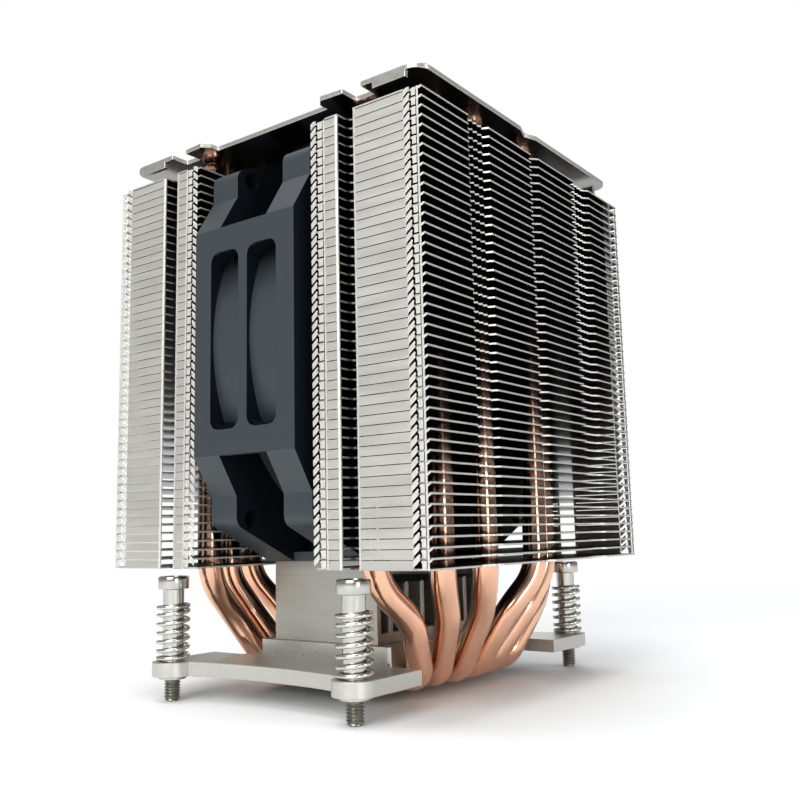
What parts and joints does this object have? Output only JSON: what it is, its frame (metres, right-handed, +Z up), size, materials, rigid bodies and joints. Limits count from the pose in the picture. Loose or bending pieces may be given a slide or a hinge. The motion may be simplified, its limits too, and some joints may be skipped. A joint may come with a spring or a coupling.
{
  "type": "dual tower server cpu cooler",
  "caption": "Server processor cooler with a fan held between two folded-fin towers, U-shaped heat pipes flush with the foot of a base block and sprung captive screws",
  "frame": {"origin": "centre of the base block's contact face", "axes": "+Z up, away from the processor; +Y along the fan's axis from the front tower to the rear one; +X to the right as seen from the front"},
  "size_m": [0.1036, 0.0976, 0.1362],
  "materials": {
    "nickel": "nickel-plated, satin",
    "fin_nickel": "nickel-plated sheet",
    "copper": "polished copper",
    "steel": "bright steel",
    "screw_steel": "nickel-plated steel",
    "bronze": "sintered bronze",
    "fan_plastic": "slate grey moulded plastic",
    "board": "green circuit board",
    "magnet": "bonded ferrite"
  },
  "bodies": {
    "cooler": {"base_block": "nickel", "base_heatsink": "nickel", "mounting_wing_left": "nickel", "mounting_wing_right": "nickel", "heat_pipe_1": "copper", "heat_pipe_2": "copper", "heat_pipe_3": "copper", "heat_pipe_4": "copper", "heat_pipe_5": "copper", "heat_pipe_6": "copper", "front_fin_stack": "fin_nickel", "rear_fin_stack": "fin_nickel", "top_cover": "nickel", "fan_frame": "fan_plastic", "fan_bearing": "bronze", "fan_stator": "steel", "fan_pcb": "board", "spring_1": "steel", "spring_2": "steel", "spring_3": "steel", "spring_4": "steel"},
    "rotor": {"impeller": "fan_plastic", "fan_shaft": "steel", "magnet_ring": "magnet"},
    "clip_1": {"retaining_clip_1": "steel"},
    "clip_2": {"retaining_clip_2": "steel"},
    "clip_3": {"retaining_clip_3": "steel"},
    "clip_4": {"retaining_clip_4": "steel"},
    "screw_1": {"captive_screw_1": "screw_steel"},
    "screw_2": {"captive_screw_2": "screw_steel"},
    "screw_3": {"captive_screw_3": "screw_steel"},
    "screw_4": {"captive_screw_4": "screw_steel"}
  },
  "joints": [
    {"name": "fan_spin", "type": "hinge", "parent": "cooler", "child": "rotor", "pos_m": [0, 0, 0.08081], "axis": [0, 1, 0], "continuous": true},
    {"name": "screw_1_slide", "type": "slide", "parent": "cooler", "child": "clip_1", "axis": [0, 0, -1], "range_m": [0, 0.008], "deforming": ["spring_1"]},
    {"name": "screw_2_slide", "type": "slide", "parent": "cooler", "child": "clip_2", "axis": [0, 0, -1], "range_m": [0, 0.008], "deforming": ["spring_2"]},
    {"name": "screw_3_slide", "type": "slide", "parent": "cooler", "child": "clip_3", "axis": [0, 0, -1], "range_m": [0, 0.008], "deforming": ["spring_3"]},
    {"name": "screw_4_slide", "type": "slide", "parent": "cooler", "child": "clip_4", "axis": [0, 0, -1], "range_m": [0, 0.008], "deforming": ["spring_4"]},
    {"name": "screw_1_spin", "type": "hinge", "parent": "clip_1", "child": "screw_1", "pos_m": [-0.047, -0.028, 0.0067], "axis": [0, 0, 1], "continuous": true},
    {"name": "screw_2_spin", "type": "hinge", "parent": "clip_2", "child": "screw_2", "pos_m": [0.047, -0.028, 0.0067], "axis": [0, 0, 1], "continuous": true},
    {"name": "screw_3_spin", "type": "hinge", "parent": "clip_3", "child": "screw_3", "pos_m": [0.047, 0.028, 0.0067], "axis": [0, 0, 1], "continuous": true},
    {"name": "screw_4_spin", "type": "hinge", "parent": "clip_4", "child": "screw_4", "pos_m": [-0.047, 0.028, 0.0067], "axis": [0, 0, 1], "continuous": true}
  ]
}
